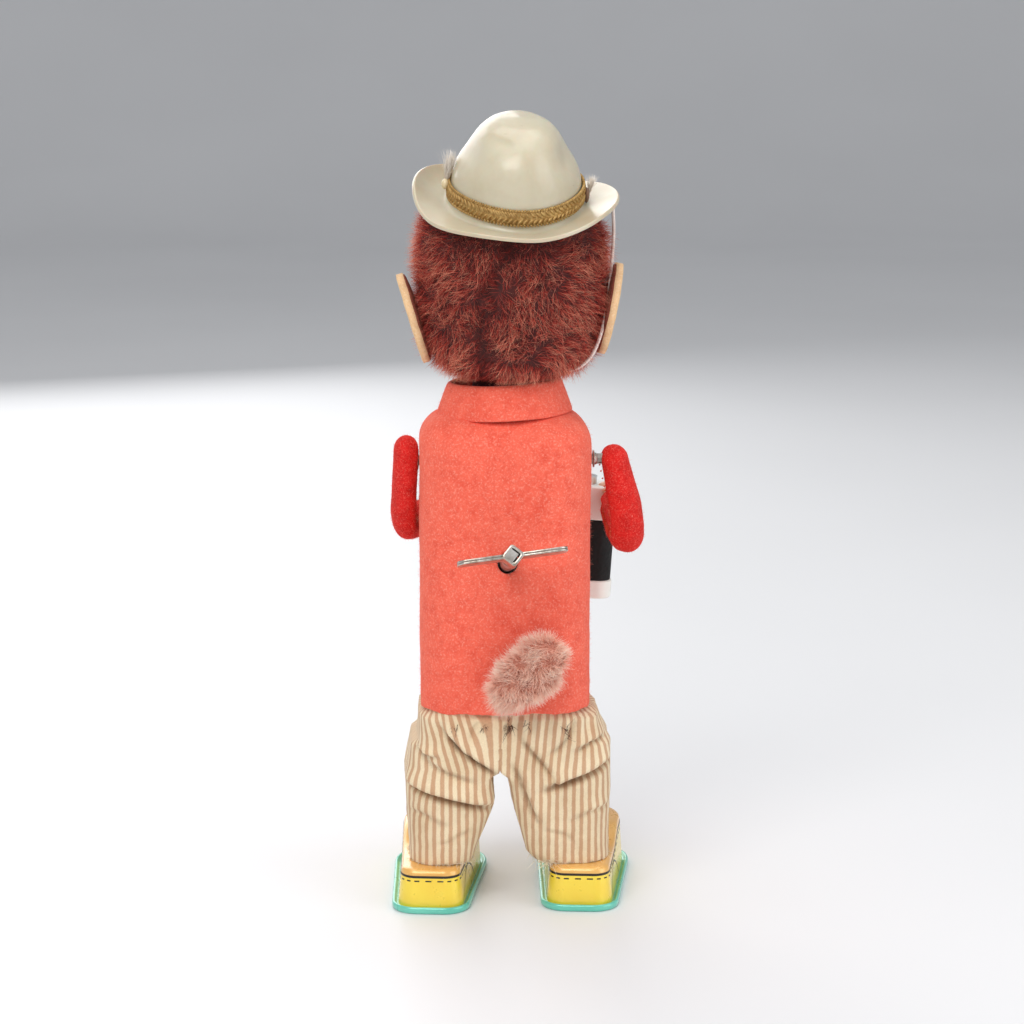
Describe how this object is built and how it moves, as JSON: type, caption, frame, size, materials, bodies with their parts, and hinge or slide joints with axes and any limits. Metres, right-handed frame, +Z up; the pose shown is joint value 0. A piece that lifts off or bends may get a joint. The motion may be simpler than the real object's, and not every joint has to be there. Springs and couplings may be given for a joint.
{
  "type": "wind-up walking monkey toy",
  "caption": "Clockwork dressed monkey toy with felt jacket, striped trousers, tin shoes, hat and back key, holding a toy camera.",
  "frame": {"origin": "bottom centre of the toy's bounding box, on the surface that the shoes stand on", "axes": "+Z up, the face looks along -Y, the winding key points to +Y, the toy's left hand is at +X"},
  "size_m": [0.0744, 0.0942, 0.2325],
  "materials": {
    "felt_red": "heathered coral red wool felt",
    "sleeve_red": "deep red felt",
    "plush": "dark red-brown mohair plush",
    "felt_tan": "tan felt",
    "hat_plastic": "cream moulded plastic, glossy",
    "braid_gold": "old gold woven braid",
    "feather_white": "white fluff",
    "elastic_white": "thin white elastic",
    "striped_cotton": "cream and brown striped cotton",
    "tin_yellow": "glossy printed tin, yellow",
    "tin_green": "glossy printed tin, green",
    "tin_plain": "plain tinplate",
    "steel_nickel": "worn nickel plate",
    "steel_plain": "plain steel",
    "steel_spring": "blued spring steel",
    "brass_gear": "stamped brass",
    "vinyl_tan": "painted soft vinyl",
    "shell_brown": "brown pressed board",
    "eye_glass": "glossy dark eye",
    "camera_cream": "off-white moulded plastic",
    "camera_black": "black leather-grained covering",
    "camera_metal": "satin turned metal",
    "lens_glass": "dark glossy lens",
    "button_cream": "cream button"
  },
  "bodies": {
    "torso": {"body_front_shell": "tin_plain", "body_back_shell": "tin_plain", "motor_back_plate": "tin_plain", "motor_front_plate": "tin_plain", "motor_pillars": "steel_plain", "mainspring": "steel_spring", "jacket": "felt_red", "jacket_collar": "felt_red", "jacket_buttons": "button_cream", "tail": "plush", "trouser_seat": "striped_cotton", "hip_axle": "steel_plain", "neck_post": "shell_brown"},
    "head": {"head_shell": "shell_brown", "head_fur": "plush", "face_mask": "vinyl_tan", "eyes": "eye_glass", "ear_left": "felt_tan", "ear_right": "felt_tan", "hat": "hat_plastic", "hat_band": "braid_gold", "hat_feather": "feather_white", "hat_tuft": "feather_white", "hat_strap": "elastic_white", "neck_socket": "shell_brown"},
    "arms": {"shoulder_axle": "steel_plain", "arm_lever": "steel_plain", "arm_strip_left": "steel_plain", "arm_strip_right": "steel_plain", "sleeve_left": "sleeve_red", "sleeve_right": "sleeve_red", "hand_left": "vinyl_tan", "hand_right": "vinyl_tan", "camera_body": "camera_black", "camera_top_plate": "camera_cream", "camera_bottom_plate": "camera_cream", "camera_lens_barrel": "camera_metal", "camera_lens_glass": "lens_glass", "camera_knobs": "camera_metal", "camera_viewfinder": "lens_glass"},
    "leg_left": {"leg_strut_left": "steel_plain", "trouser_leg_left": "striped_cotton", "shoe_upper_left": "tin_yellow", "shoe_sole_left": "tin_green"},
    "leg_right": {"leg_strut_right": "steel_plain", "trouser_leg_right": "striped_cotton", "shoe_upper_right": "tin_yellow", "shoe_sole_right": "tin_green"},
    "winding_key": {"key": "steel_nickel", "winding_arbor": "steel_plain", "ratchet_wheel": "brass_gear"},
    "great_wheel_body": {"great_wheel": "brass_gear", "click": "steel_spring"},
    "second_wheel_body": {"second_wheel": "brass_gear"},
    "governor_body": {"governor": "brass_gear"}
  },
  "joints": [
    {"name": "key_wind", "type": "hinge", "parent": "torso", "child": "winding_key", "pos_m": [0.0035, 0.01529, 0.10101], "axis": [0, 0.9511, 0.309], "continuous": true},
    {"name": "great_wheel_spin", "type": "hinge", "parent": "torso", "child": "great_wheel_body", "pos_m": [0.0035, 0.01529, 0.10101], "axis": [0, 0.9511, 0.309], "continuous": true},
    {"name": "second_wheel_spin", "type": "hinge", "parent": "torso", "child": "second_wheel_body", "pos_m": [0.01137, 0.01107, 0.11398], "axis": [0, 0.9511, 0.309], "continuous": true},
    {"name": "governor_spin", "type": "hinge", "parent": "torso", "child": "governor_body", "pos_m": [0, 0.01045, 0.11589], "axis": [0, 0.9511, 0.309], "continuous": true},
    {"name": "head_turn", "type": "hinge", "parent": "torso", "child": "head", "pos_m": [0.0035, 0.0058, 0.16], "axis": [0, 0, 1], "range_deg": [-20, 20]},
    {"name": "arms_raise", "type": "hinge", "parent": "torso", "child": "arms", "pos_m": [0.0035, 0.0058, 0.1305], "axis": [-1, 0, 0], "range_deg": [0, 36]},
    {"name": "left_leg_swing", "type": "hinge", "parent": "torso", "child": "leg_left", "pos_m": [0.0205, 0.0058, 0.064], "axis": [-1, 0, 0], "range_deg": [-8, 8]},
    {"name": "right_leg_swing", "type": "hinge", "parent": "torso", "child": "leg_right", "pos_m": [-0.0135, 0.0058, 0.064], "axis": [-1, 0, 0], "range_deg": [-8, 8]}
  ],
  "couplings": [
    {"joint": "second_wheel_spin", "follows": "great_wheel_spin", "ratio": -4},
    {"joint": "governor_spin", "follows": "great_wheel_spin", "ratio": 10.667},
    {"joint": "right_leg_swing", "follows": "left_leg_swing", "ratio": -1}
  ]
}
